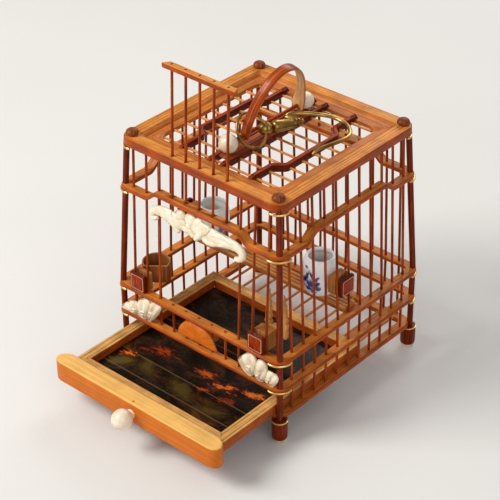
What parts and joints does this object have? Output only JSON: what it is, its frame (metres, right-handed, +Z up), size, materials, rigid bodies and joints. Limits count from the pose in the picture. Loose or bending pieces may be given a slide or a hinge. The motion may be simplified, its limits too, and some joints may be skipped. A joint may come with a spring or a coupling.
{
  "type": "bamboo insect cage",
  "caption": "Square bamboo insect cage with barred walls, a lifting barred door, a pull-out tray, a bail handle with ring and swivel hook, and cups inside.",
  "frame": {"origin": "on the ground under the middle of the footprint, with the tray pulled out as in the picture", "axes": "+Z up, -Y out of the front, where the door and the tray are, +X to the right seen from the front"},
  "size_m": [0.1066, 0.1614, 0.1726],
  "materials": {
    "lacquered_bamboo": "lacquered",
    "golden_bamboo": "lacquered",
    "dark_bamboo": "lacquered",
    "pale_bamboo": "satin",
    "bone": "polished",
    "brass": "polished",
    "porcelain": "glazed",
    "tortoiseshell": "polished",
    "mahogany": "lacquered"
  },
  "bodies": {
    "cage": {"post_front_left": "dark_bamboo", "post_front_right": "dark_bamboo", "post_back_right": "dark_bamboo", "post_back_left": "dark_bamboo", "foot_front_left": "dark_bamboo", "foot_front_right": "dark_bamboo", "foot_back_right": "dark_bamboo", "foot_back_left": "dark_bamboo", "lower_rail": "golden_bamboo", "shoulder_rail": "golden_bamboo", "left_grille": "dark_bamboo", "right_grille": "dark_bamboo", "back_grille": "dark_bamboo", "front_grille_left": "dark_bamboo", "front_grille_right": "dark_bamboo", "front_grille_low": "dark_bamboo", "base_grille": "golden_bamboo", "top_frame_front": "lacquered_bamboo", "top_frame_right": "lacquered_bamboo", "top_frame_back": "lacquered_bamboo", "top_frame_left": "lacquered_bamboo", "roof_grille": "dark_bamboo", "roof_spine": "lacquered_bamboo", "handle_axle": "dark_bamboo", "bead_front": "bone", "bead_back": "bone", "perch": "pale_bamboo", "plaque_front_left": "mahogany", "plaque_front_right": "mahogany", "plaque_left": "mahogany", "plaque_right": "mahogany", "block_front_left": "pale_bamboo", "block_front_right": "pale_bamboo", "block_left": "pale_bamboo", "block_right": "pale_bamboo", "porcelain_cup_left": "porcelain", "porcelain_cup_right": "porcelain", "scoop_cup": "pale_bamboo", "fork": "pale_bamboo", "half_moon_plaque": "lacquered_bamboo", "half_moon_block": "pale_bamboo", "corner_carving_left": "bone", "corner_carving_right": "bone"},
    "door": {"door_grille": "dark_bamboo", "door_carving": "bone"},
    "drawer": {"drawer_panel": "golden_bamboo", "drawer_knob": "bone", "tray_frame": "golden_bamboo", "tray_bottom": "tortoiseshell"},
    "handle": {"handle": "lacquered_bamboo"},
    "ring_swivel": {"ring": "brass", "swivel_ball": "brass", "barrel": "brass"},
    "hook": {"hook": "brass"}
  },
  "joints": [
    {"name": "door_slide", "type": "slide", "parent": "cage", "child": "door", "axis": [0, 0.042, 0.9991], "range_m": [-0.0425, 0.0008]},
    {"name": "drawer_slide", "type": "slide", "parent": "cage", "child": "drawer", "axis": [0, 1, 0], "range_m": [-0.04, 0.036]},
    {"name": "handle_hinge", "type": "hinge", "parent": "cage", "child": "handle", "pos_m": [0, 0.02735, 0.13115], "axis": [0, 1, 0], "range_deg": [-85, 0]},
    {"name": "ring_lift", "type": "hinge", "parent": "handle", "child": "ring_swivel", "pos_m": [0, 0.02735, 0.13115], "axis": [0, -1, 0], "range_deg": [0, 30]},
    {"name": "hook_swivel", "type": "hinge", "parent": "ring_swivel", "child": "hook", "pos_m": [0.0101, 0.03525, 0.1308], "axis": [-0.3607, -0.9291, 0.0815], "range_deg": [0, 9]}
  ]
}
